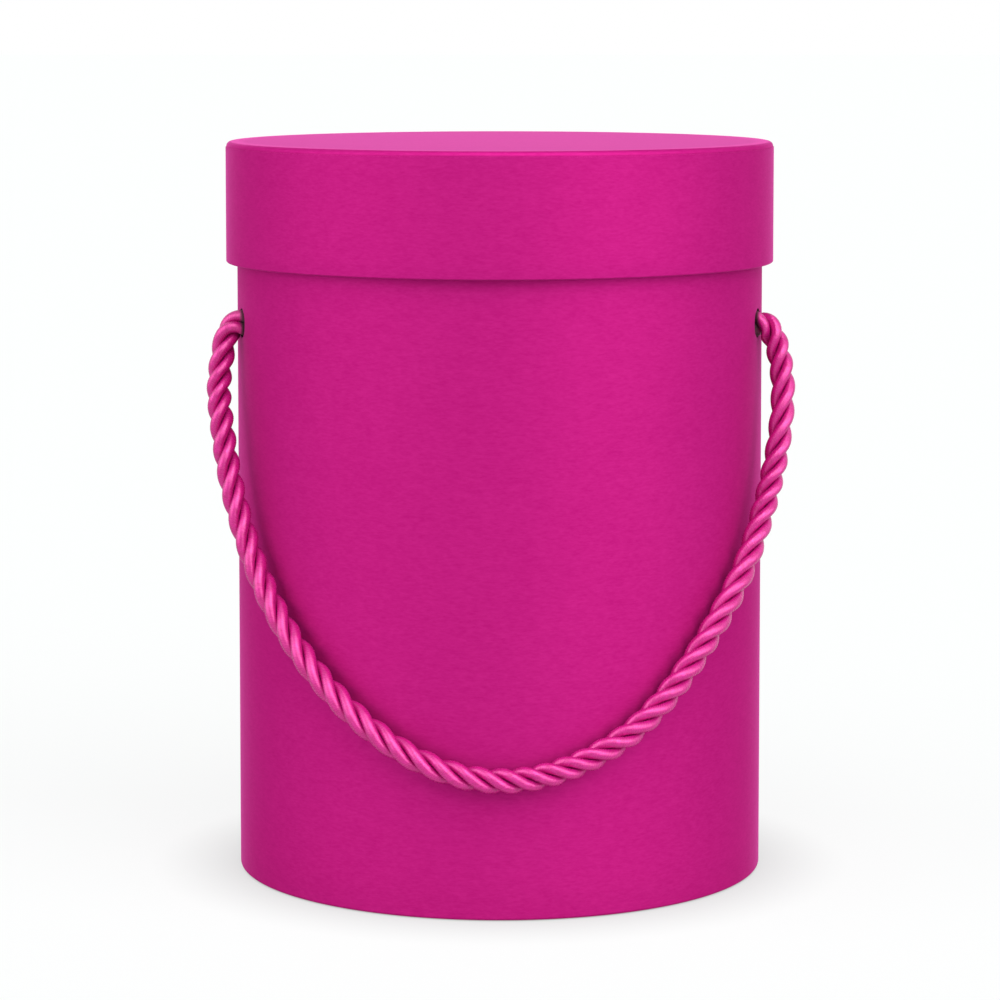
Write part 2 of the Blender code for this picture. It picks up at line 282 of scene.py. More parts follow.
def add_sum(tree, *parts):
    """The sum of values, each times its weight."""
    total = None
    for value, weight in parts:
        part = add_math(tree, "MULTIPLY", value, weight)
        total = part if total is None else add_math(tree, "ADD", total, part)
    return total


def add_ramp(tree, value, zero_at, one_at, kind="SMOOTHSTEP"):
    """0 where the value is zero_at, 1 where it is one_at, and a smooth or LINEAR step between."""
    node = tree.nodes.new("ShaderNodeMapRange")
    node.interpolation_type = kind
    node.inputs["From Min"].default_value = zero_at
    node.inputs["From Max"].default_value = one_at
    tree.links.new(value, node.inputs["Value"])
    return node.outputs["Result"]


def add_object_position(tree):
    """The place on the piece in metres, which is its place in the whole box at rest."""
    return tree.nodes.new("ShaderNodeTexCoord").outputs["Object"]


def add_coordinates(tree, position):
    """The position's X, Y and Z."""
    node = tree.nodes.new("ShaderNodeSeparateXYZ")
    tree.links.new(position, node.inputs[0])
    return node.outputs["X"], node.outputs["Y"], node.outputs["Z"]


def add_distance(tree, first, second):
    """The distance from a line: the root of the sum of the squares of two measures square to it."""
    squares = [add_math(tree, "POWER", measure, 2) for measure in (first, second)]
    return add_math(tree, "SQRT", add_math(tree, "ADD", *squares))


def add_placing(tree, position, scale=(1, 1, 1), turn=(0, 0, 0)):
    """The position turned, and then scaled in each direction."""
    node = tree.nodes.new("ShaderNodeMapping")
    node.inputs["Rotation"].default_value = turn
    node.inputs["Scale"].default_value = scale
    tree.links.new(position, node.inputs["Vector"])
    return node.outputs["Vector"]


def add_noise(tree, position, scale, detail, roughness=0.5):
    """Noise from 0 to 1 about a half. The scale is how many specks go to a metre, one number or one
    for each direction, which draws the specks out."""
    if isinstance(scale, tuple):
        position, scale = add_placing(tree, position, scale), 1
    node = tree.nodes.new("ShaderNodeTexNoise")
    node.inputs["Scale"].default_value = scale
    node.inputs["Detail"].default_value = detail
    node.inputs["Roughness"].default_value = roughness
    tree.links.new(position, node.inputs["Vector"])
    return node.outputs["Fac"]


def add_mix(tree, factor, low, high):
    """The colour mixed from low at a factor of 0 to high at 1."""
    node = tree.nodes.new("ShaderNodeMix")
    node.data_type = "RGBA"
    tree.links.new(factor, node.inputs["Factor"])
    for label, value in (("A", low), ("B", high)):
        socket = next(s for s in node.inputs if s.name == label and s.type == "RGBA")
        if isinstance(value, tuple):
            socket.default_value = value
        else:
            tree.links.new(value, socket)
    return next(s for s in node.outputs if s.type == "RGBA")


def new_material(name, **values):
    """A material with one Principled shader, the given plain values on its own sockets."""
    material = bpy.data.materials.new(name)
    material.use_nodes = True
    shader = material.node_tree.nodes["Principled BSDF"]
    for label, value in values.items():
        shader.inputs[label.replace("_", " ").title().replace("Ior", "IOR")].default_value = value
    return material, material.node_tree, shader


def add_group(tree, group, position, **values):
    """A node group placed in a material, fed with a position and its own values."""
    node = tree.nodes.new("ShaderNodeGroup")
    node.node_tree = group
    tree.links.new(position, node.inputs["Position"])
    for label, value in values.items():
        node.inputs[label.replace("_", " ").capitalize()].default_value = value
    return node


def add_bump(tree, shader, height, strength, distance):
    """A Bump node on the shader: the height from 0 to 1 stands for the distance in metres."""
    node = tree.nodes.new("ShaderNodeBump")
    node.inputs["Strength"].default_value = strength
    node.inputs["Distance"].default_value = distance
    tree.links.new(height, node.inputs["Height"])
    tree.links.new(node.outputs["Normal"], shader.inputs["Normal"])


# The yarns lie across each strand, slanting the other way from the lay, each of them a bundle of
# filaments. On the UV map that is a wave along one slanted direction, broken by drawn-out noise.
# The lanes of the wave drift by up to three widths, and the lightest filaments are the smoothest.
YARN_SLANT = math.radians(62)
YARN_WIDTH = 0.0006
YARN_DRIFT = 3.0
YARN_DARK = (0.325, 0.0025, 0.107, 1)
YARN_LIGHT = (0.63, 0.017, 0.275, 1)
YARN_ROUGHNESS = 0.364
YARN_SMOOTHER = 0.20
YARN_METALLIC = 0.3

yarns, yarns_in, yarns_out = new_group(
    "satin_yarns",
    [
        ("Position", "NodeSocketVector", None),
        ("Dark", "NodeSocketColor", (0.3, 0, 0.1, 1)),
        ("Light", "NodeSocketColor", (0.8, 0.05, 0.4, 1)),
        ("Yarn width", "NodeSocketFloat", 0.0007),
    ],
    [("Color", "NodeSocketColor"), ("Roughness", "NodeSocketFloat"), ("Height", "NodeSocketFloat")],
)
slant = (0, 0, YARN_SLANT - math.pi / 2)
slanted = add_placing(yarns, yarns_in.outputs["Position"], turn=slant)
drift = add_noise(yarns, slanted, (400, 700, 400), detail=2)
over_yarns, _, _ = add_coordinates(yarns, slanted)
lane = add_math(yarns, "DIVIDE", over_yarns, yarns_in.outputs["Yarn width"])
lane = add_math(yarns, "ADD", lane, add_math(yarns, "MULTIPLY", drift, YARN_DRIFT))
wave = add_math(yarns, "SINE", add_math(yarns, "MULTIPLY", lane, 2 * math.pi))
wave = add_math(yarns, "ADD", add_math(yarns, "MULTIPLY", wave, 0.5), 0.5)
filaments = add_noise(yarns, slanted, (2100, 330, 2100), detail=4, roughness=0.65)
bundles = add_noise(yarns, slanted, (800, 260, 800), detail=2)
blend = add_sum(yarns, (wave, 0.2), (filaments, 1.9), (bundles, 0.7))
blend = add_math(yarns, "SUBTRACT", blend, 0.9)
color = add_mix(yarns, blend, yarns_in.outputs["Dark"], yarns_in.outputs["Light"])
yarns.links.new(color, yarns_out.inputs["Color"])
smoother = add_math(yarns, "MULTIPLY", blend, YARN_SMOOTHER)
yarns.links.new(
    add_math(yarns, "SUBTRACT", YARN_ROUGHNESS, smoother), yarns_out.inputs["Roughness"]
)
yarns.links.new(add_sum(yarns, (wave, 0.3), (filaments, 0.7)), yarns_out.inputs["Height"])

rope_satin, tree, shader = new_material(
    "rope_satin",
    specular_ior_level=0.7,
    specular_tint=(1, 0.9, 0.95, 1),
)
uv = tree.nodes.new("ShaderNodeUVMap")
uv.uv_map = "surface"
twist = add_group(
    tree,
    yarns,
    uv.outputs["UV"],
    dark=YARN_DARK,
    light=YARN_LIGHT,
    yarn_width=YARN_WIDTH,
)

# Inside the wall's thickness the yarns are painted dark, a painted shade in the hole, and made
# dull: the mask is 1 near the middle of the wall and 0 further in and out, by the distance from the
# box's axis
IN_WALL_SHADE_BAND = 0.0027
PAINTED_SHADE_YARN = (0.04, 0, 0.012, 1)
IN_WALL_ROUGHER = 0.7

x, y, _ = add_coordinates(tree, add_object_position(tree))
wall_middle = (BODY_RADIUS + BODY_LINING_INNER) / 2
from_middle = add_math(tree, "SUBTRACT", add_distance(tree, x, y), wall_middle)
shade_band = add_ramp(tree, add_math(tree, "ABSOLUTE", from_middle), IN_WALL_SHADE_BAND, IN_WALL_SHADE_BAND / 2)
# The yarns inside the wall take the painted shade's dark colour
yarns_with_painted_shade = add_mix(tree, shade_band, twist.outputs["Color"], PAINTED_SHADE_YARN)
tree.links.new(yarns_with_painted_shade, shader.inputs["Base Color"])
unshaded = add_math(tree, "SUBTRACT", 1.0, shade_band)
tree.links.new(add_math(tree, "MULTIPLY", unshaded, YARN_METALLIC), shader.inputs["Metallic"])
dull = add_math(tree, "MULTIPLY", shade_band, IN_WALL_ROUGHER)
tree.links.new(add_math(tree, "ADD", twist.outputs["Roughness"], dull), shader.inputs["Roughness"])
add_bump(tree, shader, twist.outputs["Height"], strength=0.75, distance=0.00012)

mouth = math.sqrt(BODY_LINING_INNER**2 - HOLE_FORWARD**2)
bend_start = math.sqrt(BODY_RADIUS**2 - HOLE_FORWARD**2) - ROPE_WALL_LEAD
left_end = [(-mouth, -HOLE_FORWARD, HOLE_HEIGHT), (-bend_start, -HOLE_FORWARD, HOLE_HEIGHT)]
right_end = [(bend_start, -HOLE_FORWARD, HOLE_HEIGHT), (mouth, -HOLE_FORWARD, HOLE_HEIGHT)]
rope_along, rope_line = evenly_spaced(
    smooth_line(np.concatenate((left_end, ROPE_ROUTE, right_end)), CURVE_STEPS)
)
turns = np.arange(len(TURN_ENDS)) - 1 + FIRST_TURN
turn_line = np.stack((TURN_ENDS, turns * TURN_LENGTH, turns * 0), axis=1)
turn_line = smooth_line(turn_line, CURVE_STEPS)
turned_by = np.interp(rope_along, turn_line[:, 0], turn_line[:, 1] / TURN_LENGTH)
rope_angle = 2 * math.pi * turned_by
out, across = directions_along(rope_line, np.array([[0, -1.0, 0]]))
rope = grid_piece(
    "rope",
    strand_places(
        rope_line,
        out,
        across,
        rope_angle,
        np.ones(len(rope_line)),
        fullness_from(np.minimum(rope_along, rope_along[-1] - rope_along), FULL_LENGTH),
    ),
    rope_satin,
    "handle",
    strand_marks(rope_along),
)
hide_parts("rope_handle")


# The two knots: the same rope goes on inside each hole, turns round itself in an overhand knot that
# can't be drawn back through, and ends in a short tail whose strands are rounded off.

KNOT_SPACING = 0.009
KNOT_WALL_GAP = 0.0005
KNOT_TRAVEL_SHARES = (-4.7, 10.2, -4.3)
KNOT_TURNS = (5.35, -0.5)
KNOT_REACH_SHARE = 1.13
KNOT_BELLY_POWER = 8
KNOT_NECK_POWER = 3
KNOT_LOBE_SHARE = 1.27
KNOT_POINTS = 1200
NECK_LENGTH = 0.006
NECK_POINTS = 20
TAIL_LENGTH = 0.014
TAIL_POINTS = 30
# The length over which the tail's strands are rounded off, and how far they never narrow below
TAIL_ROUND = 0.0018
TAIL_LEAST = 0.02

knot_reach = KNOT_REACH_SHARE * KNOT_SPACING
wall_reach = BODY_LINING_INNER - ROPE_DIAMETER / 2 - KNOT_WALL_GAP
lobe_limit = math.sqrt(wall_reach**2 - (HOLE_FORWARD + knot_reach) ** 2)
knot_centre = lobe_limit - KNOT_LOBE_SHARE * KNOT_SPACING


def knot_line():
    """With v from -1 to 1, the line travels a v + b v^3 + c v^5 along the rope's axis, turns d v +
    e v^3 about it, and lies off it by the reach times (1 - |v|^belly)^neck. A straight neck leads
    to it from the wall, and a straight tail goes on. The second result points away from the
    axis."""
    share = np.linspace(-1, 1, KNOT_POINTS)
    first, second, third = KNOT_TRAVEL_SHARES
    travel = KNOT_SPACING * (first * share + second * share**3 + third * share**5)
    angle = KNOT_TURNS[0] * share + KNOT_TURNS[1] * share**3
    reach = knot_reach * (1 - np.abs(share) ** KNOT_BELLY_POWER) ** KNOT_NECK_POWER
    neck = np.linspace(knot_centre - mouth, travel[0], NECK_POINTS)[:-1]
    tail = np.linspace(travel[-1], travel[-1] + TAIL_LENGTH, TAIL_POINTS)[1:]
    travel = np.concatenate((neck, travel, tail))
    angle = np.pad(angle, (len(neck), len(tail)), mode="edge")
    reach = np.pad(reach, (len(neck), len(tail)))
    away = np.stack((np.zeros_like(angle), -np.cos(angle), -np.sin(angle)), axis=1)
    line = away * reach[:, None]
    line[:, 0] = travel
    return line, away


def knot_piece(name, side, start_angle):
    """The knot on one side, -1 left or 1 right. The strands turn on evenly from the angle that they
    have at the wall, less what the outward direction itself turns about the line."""
    line, away = knot_line()
    line, away = line * (-side, -side, 1), away * (-side, -side, 1)
    line = line + np.array([side * knot_centre, -HOLE_FORWARD, HOLE_HEIGHT])
    places, line, away = evenly_spaced(line, away)
    out, across = directions_along(line, away)
    drift = (np.diff(out, axis=0) * (across[1:] + across[:-1]) / 2).sum(axis=1)
    angles = start_angle + 2 * math.pi * places / STRAND_LAY
    angles[1:] -= np.cumsum(drift)
    left = np.minimum((places[-1] - places) / TAIL_ROUND, 1)
    swell = np.sqrt(np.maximum(1 - (1 - left) ** 2, TAIL_LEAST))
    piece = grid_piece(
        name,
        strand_places(line, out, across, angles, swell, fullness_from(places, NECK_LENGTH)),
        rope_satin,
        "handle",
        strand_marks(places),
    )
    return piece


# At the left wall the knot runs against the rope's own direction, so that its angle starts reversed
left_knot = knot_piece("left_knot_rope", -1, -rope_angle[0])
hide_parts("left_knot")
right_knot = knot_piece("right_knot_rope", 1, rope_angle[-1])
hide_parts("right_knot")


# The greyboard: the rolled tube and the disc of the body, and the same two of the lid. It is grey
# pulp board with flecks, wrapped all over, so that only the cut edges of the holes show it. There,
# and on the lining, a painted shade darkens the edges of the holes.

BOARD_DARK = (0.16, 0.14, 0.115, 1)
BOARD_LIGHT = (0.42, 0.385, 0.33, 1)
HOLE_DIAMETER = 0.010
# How far round the hole the painted shade reaches, how far on it fades, and its dark colour
SHADE_RIM = 0.0006
SHADE_FADE = 0.0010
PAINTED_HOLE_SHADE = (0.05, 0.001, 0.014, 1)


def repaint(node, material):
    """Gives a CAD node's object, whose shape is right as it is, the material alone."""
    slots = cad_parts[node].data.materials
    slots.clear()
    slots.append(material)


# Pulp board: specks all through, and flecks drawn out upwards
board_flecks, flecks_in, flecks_out = new_group(
    "board_flecks",
    [
        ("Position", "NodeSocketVector", None),
        ("Dark", "NodeSocketColor", (0.2, 0.2, 0.2, 1)),
        ("Light", "NodeSocketColor", (0.4, 0.4, 0.4, 1)),
    ],
    [("Color", "NodeSocketColor"), ("Roughness", "NodeSocketFloat"), ("Height", "NodeSocketFloat")],
)
position = flecks_in.outputs["Position"]
pulp = add_noise(board_flecks, position, 900, detail=5, roughness=0.7)
layers = add_noise(board_flecks, position, (400, 400, 60), detail=3)
fleck = add_math(board_flecks, "MULTIPLY", add_math(board_flecks, "ADD", pulp, layers), 0.5)
board_flecks.links.new(
    add_mix(board_flecks, fleck, flecks_in.outputs["Dark"], flecks_in.outputs["Light"]),
    flecks_out.inputs["Color"],
)
rough = add_math(board_flecks, "ADD", add_math(board_flecks, "MULTIPLY", pulp, 0.15), 0.8)
board_flecks.links.new(rough, flecks_out.inputs["Roughness"])
board_flecks.links.new(fleck, flecks_out.inputs["Height"])

# The painted shade's mask, 1 at the edge of a hole and 0 a little further out: the distance is
# taken square to the holes' line
hole_shade, hole_shade_in, hole_shade_out = new_group(
    "painted_hole_shade", [("Position", "NodeSocketVector", None)], [("Mask", "NodeSocketFloat")]
)
_, y, z = add_coordinates(hole_shade, hole_shade_in.outputs["Position"])
forward = add_math(hole_shade, "ADD", y, HOLE_FORWARD)
upward = add_math(hole_shade, "SUBTRACT", z, HOLE_HEIGHT)
shade_edge = HOLE_DIAMETER / 2 + SHADE_RIM
fade = add_ramp(
    hole_shade, add_distance(hole_shade, forward, upward), shade_edge + SHADE_FADE, shade_edge
)
hole_shade.links.new(fade, hole_shade_out.inputs["Mask"])

greyboard, tree, shader = new_material("greyboard_pulp", specular_ior_level=0.2)
position = add_object_position(tree)
grey = add_group(tree, board_flecks, position, dark=BOARD_DARK, light=BOARD_LIGHT)
mask = add_group(tree, hole_shade, position)
# The cut edges of the board round the holes take the painted shade's dark colour
board_color = add_mix(tree, mask.outputs["Mask"], grey.outputs["Color"], PAINTED_HOLE_SHADE)
tree.links.new(board_color, shader.inputs["Base Color"])
tree.links.new(grey.outputs["Roughness"], shader.inputs["Roughness"])
add_bump(tree, shader, grey.outputs["Height"], strength=0.5, distance=0.0002)
for node in ("body_board", "base_board", "lid_rim_board", "lid_top_board"):
    repaint(node, greyboard)


# The outside paper of the body: one sheet of uncoated dyed paper glued round the tube, turned in
# over the rim and under the base, lapped at the back, and punched for the rope.

PAPER = 0.0002
BASE_WRAP = 0.00025
BODY_RIM = 0.2472
BODY_EDGE = 0.00105
BODY_TURN_IN = 0.016
BASE_TURN_IN = 0.014
BODY_TURNED_RADIUS = 0.0877
LAP_WIDTH = 0.015
LAP_RISE = 0.006
BODY_LAP_PLACE = math.radians(84)
# Half the angle of the step at a lap, and the angle from it that holds no other points
LAP_STEP = 0.0002
LAP_CLEAR = 0.004

# The punch presses the paper in at the hole's edge. Round the hole the grid's squares become rings,
# less and less up to this many of its radii, on the wall's own surface within the given distance
PUNCH_DIP = 0.00012
PUNCH_DIP_WIDTH = 0.0005
RINGS_REACH = 2.2
ON_WALL = 0.0005
HOLE_GRID = 0.00125

PAPER_DARK = (0.346, 0.0070, 0.1355, 1)
PAPER_LIGHT = (0.402, 0.0124, 0.1645, 1)
# The lighter colour of the painted highlight round the lid's top edge
PAINTED_FOLD_HIGHLIGHT = (0.52, 0.034, 0.235, 1)
# The painted highlight on the lid's top fold: fully from this radius, fading inwards, and only this
# high
FOLD_RADIUS = 0.0915
FOLD_FADE = 0.0060
FOLD_HEIGHT = 0.24996


def fibre_group():
    """Paper seen close: a level grain, finer fibres in it, a mottle where the pulp is thicker, and
    soft clouds. Each is noise on the position, squeezed upwards so that it comes out drawn out
    sideways."""
    group, start, end = new_group(
        "paper_fibre",
        [
            ("Position", "NodeSocketVector", None),
            ("Dark", "NodeSocketColor", (0.4, 0, 0.1, 1)),
            ("Light", "NodeSocketColor", (0.6, 0, 0.2, 1)),
            ("Roughness base", "NodeSocketFloat", 0.5),
        ],
        [
            ("Color", "NodeSocketColor"),
            ("Roughness", "NodeSocketFloat"),
            ("Height", "NodeSocketFloat"),
        ],
    )
    position = start.outputs["Position"]
    grain = add_noise(group, position, (420, 420, 1500), detail=2, roughness=0.6)
    fibre = add_noise(group, position, (900, 900, 3200), detail=3, roughness=0.6)
    mottle = add_noise(group, position, (180, 180, 400), detail=3)
    cloud = add_noise(group, position, 35, detail=2)
    mix = add_sum(group, (grain, 0.45), (fibre, 0.25), (mottle, 0.2), (cloud, 0.10))
    spread = add_ramp(group, mix, 0.37, 0.63, "LINEAR")
    color = add_mix(group, spread, start.outputs["Dark"], start.outputs["Light"])
    group.links.new(color, end.inputs["Color"])
    least = add_math(group, "SUBTRACT", start.outputs["Roughness base"], 0.08)
    rough = add_math(group, "ADD", add_math(group, "MULTIPLY", fibre, 0.16), least)
    group.links.new(rough, end.inputs["Roughness"])
    group.links.new(add_sum(group, (fibre, 0.6), (grain, 0.6)), end.inputs["Height"])
    return group


paper_fibre = fibre_group()

magenta_paper, tree, shader = new_material(
    "magenta_paper_fibre",
    metallic=0.51,
    specular_ior_level=0.0,
    specular_tint=(1, 0.52, 0.74, 1),
    sheen_weight=0.486,
    sheen_roughness=0.25,
    sheen_tint=(0.9, 0.197, 0.66, 1),
)
position = add_object_position(tree)
fibre = add_group(
    tree, paper_fibre, position, dark=PAPER_DARK, light=PAPER_LIGHT, roughness_base=0.534
)
# A painted highlight: the paper is painted lighter where the lid's top sheet goes over the edge of
# the board
x, y, z = add_coordinates(tree, position)
outer_part = add_ramp(tree, add_distance(tree, x, y), FOLD_RADIUS - FOLD_FADE, FOLD_RADIUS)
on_top = add_math(tree, "GREATER_THAN", z, FOLD_HEIGHT)
fold_highlight = add_math(tree, "MULTIPLY", outer_part, on_top)
paper_color = add_mix(tree, fold_highlight, fibre.outputs["Color"], PAINTED_FOLD_HIGHLIGHT)
tree.links.new(paper_color, shader.inputs["Base Color"])
tree.links.new(fibre.outputs["Roughness"], shader.inputs["Roughness"])
add_bump(tree, shader, fibre.outputs["Height"], strength=0.6, distance=0.00006)


def round_angles(fine_at=(), fine_half=0.012, coarse=256, lap=None):
    """Angles once round, even but for finer steps to both sides of each hole, and a pair of angles
    close together at the lap."""
    angles = np.linspace(0, 2 * math.pi, coarse + 1)[:-1]
    for place in fine_at:
        span = fine_half / BODY_RADIUS
        off = np.abs((angles - place + math.pi) % (2 * math.pi) - math.pi)
        steps = np.arange(-fine_half, fine_half + HOLE_GRID / 2, HOLE_GRID)
        angles = np.concatenate((angles[off > span], place + steps / BODY_RADIUS))
    if lap is not None:
        angles = angles[np.abs(angles - lap) > LAP_CLEAR]
        angles = np.concatenate((angles, [lap - LAP_STEP, lap + LAP_STEP]))
    angles = np.sort(angles % (2 * math.pi))
    return np.append(angles, angles[0] + 2 * math.pi)


def straight(start, end, points):
    """Radii and heights at even steps from start to end."""
    return np.linspace(start, end, points)


def arc(centre, radius, start, end, steps=6):
    """Radii and heights on a part of a circle, its angles in degrees from straight outwards."""
    angles = np.radians(np.linspace(start, end, steps + 1))
    return np.stack((np.cos(angles), np.sin(angles)), axis=1) * radius + np.array(centre)


def joined(*parts):
    """The parts of a profile end to end, each one's last point left to the next one's first."""
    return np.concatenate([part[:-1] for part in parts[:-1]] + [parts[-1]])


def turned(profile, angles):
    """The profile's radii and heights carried once round Z: (r cos a, r sin a, z)."""
    radius = profile[:, :1]
    height = np.broadcast_to(profile[:, 1:], (len(profile), len(angles)))
    return np.stack((radius * np.cos(angles), radius * np.sin(angles), height), axis=-1)


def lap_rise(angles, lap, radius):
    """How far the sheet stands off at a lap, from 0 to 1: it climbs smoothly over the end that lies
    under it, stays up for the lap's width, and drops at the cut edge of the upper end."""
    back = ((lap - angles) % (2 * math.pi)) * radius
    climb = np.clip((LAP_WIDTH + LAP_RISE - back) / LAP_RISE, 0, 1)
    return climb * climb * (3 - 2 * climb)


def open_hole(places, side, radius):
    """Moves the places near a hole from squares round its middle to rings, and says which faces are
    left. Seen along X, a place that lies h from the middle the square way, by the larger of its two
    measures, moves to h from it the round way at the hole's edge, and less and less further out.
    There the paper dips by the dip times e to minus the distance over its width."""
    hole = HOLE_DIAMETER / 2
    from_axis = np.hypot(places[..., 0], places[..., 1])
    y, z = places[..., 1] + HOLE_FORWARD, places[..., 2] - HOLE_HEIGHT
    near = (places[..., 0] * side > 0) & (np.abs(from_axis - radius) < ON_WALL)
    square = np.maximum(np.abs(y), np.abs(z))
    share = np.clip((RINGS_REACH * hole - square) / ((RINGS_REACH - 1) * hole), 0, 1)
    ring = np.hypot(y, z)
    scale = 1 + np.where(near, share, 0) * (square / np.maximum(ring, 1e-9) - 1)
    y, z = y * scale, z * scale
    moved = places.copy()
    there = np.where(near, from_axis, 0)
    dip = PUNCH_DIP * np.exp(-np.maximum(np.hypot(y, z) - hole, 0) / PUNCH_DIP_WIDTH)
    x = side * np.sqrt(np.maximum((there - dip) ** 2 - (y - HOLE_FORWARD) ** 2, 0))
    moved[..., 0] = np.where(near, x, places[..., 0])
    moved[..., 1] = np.where(near, y - HOLE_FORWARD, places[..., 1])
    moved[..., 2] = np.where(near, z + HOLE_HEIGHT, places[..., 2])
    inside = near & (square < hole * 0.99)
    open_face = inside[:-1, :-1] | inside[:-1, 1:] | inside[1:, 1:] | inside[1:, :-1]
    return moved, ~open_face


def add_thickness(piece, thickness):
    """The sheet gets its thickness on the side away from its faces, with crisp cut edges."""
    solid = piece.modifiers.new("sheet_thickness", "SOLIDIFY")
    solid.thickness = thickness
    solid.offset = -1
    solid.use_even_offset = True
    evaluated = piece.evaluated_get(bpy.context.evaluated_depsgraph_get())
    solid_mesh = bpy.data.meshes.new_from_object(evaluated)
    piece.modifiers.clear()
    piece.data = solid_mesh
    solid_mesh.set_sharp_from_angle(angle=CREASE)


def punched(places, radius):
    """The wall's places with both holes opened, and which faces are left."""
    keep = True
    for side in (-1, 1):
        places, left = open_hole(places, side, radius)
        keep = keep & left
    return places, keep


def wall_heights(bottom, top):
    """Heights up a wall: nine fine steps each way from the holes' middle, wide ones elsewhere."""
    fine = HOLE_HEIGHT + np.arange(-9, 10) * HOLE_GRID
    low = np.linspace(bottom, fine[0], 14)[:-1]
    high = np.linspace(fine[-1], top, 6)[1:]
    return np.concatenate((low, fine, high))


hole_angle = math.asin(HOLE_FORWARD / BODY_RADIUS)
hole_places = (-hole_angle, math.pi + hole_angle)
outer, inner, edge = BODY_RADIUS, BODY_TURNED_RADIUS, BODY_EDGE
heights = wall_heights(BASE_WRAP + edge, BODY_RIM - edge)
profile = joined(
    straight((outer - PAPER - BASE_TURN_IN, BASE_WRAP), (outer - edge, BASE_WRAP), 8),
    arc((outer - edge, BASE_WRAP + edge), edge, -90, 0),
    np.stack((np.full(len(heights), outer), heights), axis=1),
    arc((outer - edge, BODY_RIM - edge), edge, 0, 90),
    arc((inner + edge, BODY_RIM - edge), edge, 90, 180),
    straight((inner, BODY_RIM - edge), (inner, BODY_RIM - BODY_TURN_IN), 6),
)
angles = round_angles(hole_places, lap=BODY_LAP_PLACE)
places = turned(profile, angles)
rise = PAPER * lap_rise(angles, BODY_LAP_PLACE, outer)
on_outside = ((profile[:, 0] > inner + edge) & (profile[:, 1] > BASE_WRAP * 2))[:, None]
places[..., :2] *= (1 + np.where(on_outside, rise / outer, 0))[..., None]
places, keep = punched(places, outer)
body_wrap = grid_piece("body_wrap", places, magenta_paper, "box", keep=keep)
add_thickness(body_wrap, PAPER)
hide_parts("body_cover")


# The sheet under the base: a disc of the same paper that hides the turned-in edge. The solid from
# the part's source is flat and round already, so it stays and takes the paper's finish.

repaint("base_cover", magenta_paper)


# The linings of the body: a strip of off-white paper round the inside, punched with the wall, and a
# disc of the same on the base. The lid's top has such a disc too, and both keep their own solids.

LINING_OUTER = 0.08765
LINING_BOTTOM = 0.00255
LINING_TOP = 0.2432
LINING_DARK = (0.72, 0.70, 0.65, 1)
LINING_LIGHT = (0.86, 0.845, 0.80, 1)

lining_paper, tree, shader = new_material("lining_paper_fibre", specular_ior_level=0.3)
position = add_object_position(tree)
fibre = add_group(
    tree, paper_fibre, position, dark=LINING_DARK, light=LINING_LIGHT, roughness_base=0.75
)
mask = add_group(tree, hole_shade, position)
# The lining round the holes takes the same painted shade
lining_color = add_mix(tree, mask.outputs["Mask"], fibre.outputs["Color"], PAINTED_HOLE_SHADE)
tree.links.new(lining_color, shader.inputs["Base Color"])
tree.links.new(fibre.outputs["Roughness"], shader.inputs["Roughness"])
add_bump(tree, shader, fibre.outputs["Height"], strength=0.4, distance=0.00006)

heights = wall_heights(LINING_BOTTOM, LINING_TOP)[::-1]
profile = np.stack((np.full(len(heights), BODY_LINING_INNER), heights), axis=1)
hole_angle = math.asin(HOLE_FORWARD / BODY_LINING_INNER)
angles = round_angles((-hole_angle, math.pi + hole_angle))
places, keep = punched(turned(profile, angles), BODY_LINING_INNER)
body_lining = grid_piece("body_lining_strip", places, lining_paper, "box", keep=keep)
add_thickness(body_lining, LINING_OUTER - BODY_LINING_INNER)
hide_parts("body_lining")
for node in ("base_lining", "lid_top_lining"):
    repaint(node, lining_paper)


# The lid's top sheet: a disc of the outside paper glued to the top board, pressed round its edge
# and turned down over the tube, where the skirt's strip covers it.

LID_TOP = 0.250
LID_TURNED_RADIUS = 0.09355
LID_TOP_EDGE = 0.00165
LID_TURN_DOWN = 0.012

outer, edge = LID_TURNED_RADIUS, LID_TOP_EDGE
profile = joined(
    straight((0, LID_TOP), (outer - edge, LID_TOP), 24),
    arc((outer - edge, LID_TOP - edge), edge, 90, 0, 10),
    straight((outer, LID_TOP - edge), (outer, LID_TOP - LID_TURN_DOWN), 5),
)
places = turned(profile, round_angles())[::-1]
lid_sheet = grid_piece("lid_top_sheet", places, magenta_paper, "lid")
add_thickness(lid_sheet, PAPER)
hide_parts("lid_top_cover")


# The lid's skirt strip: a band of the same paper round the side, its upper edge just under the top,
# turned in over the hem and lapped at the back.

LID_HEM = 0.2089
SKIRT_RADIUS = 0.0938
SKIRT_TOP = 0.2481
SKIRT_INNER_RADIUS = 0.09125
SKIRT_TURN_IN = 0.014
LID_LAP_PLACE = math.radians(101)
HEM_OUTER = 0.0005
HEM_INNER = 0.00105
# Past the lap's cut edge the strip lies lower by this share of its thickness, over this length
LAP_DROP = 0.8
LAP_FADE = 0.03

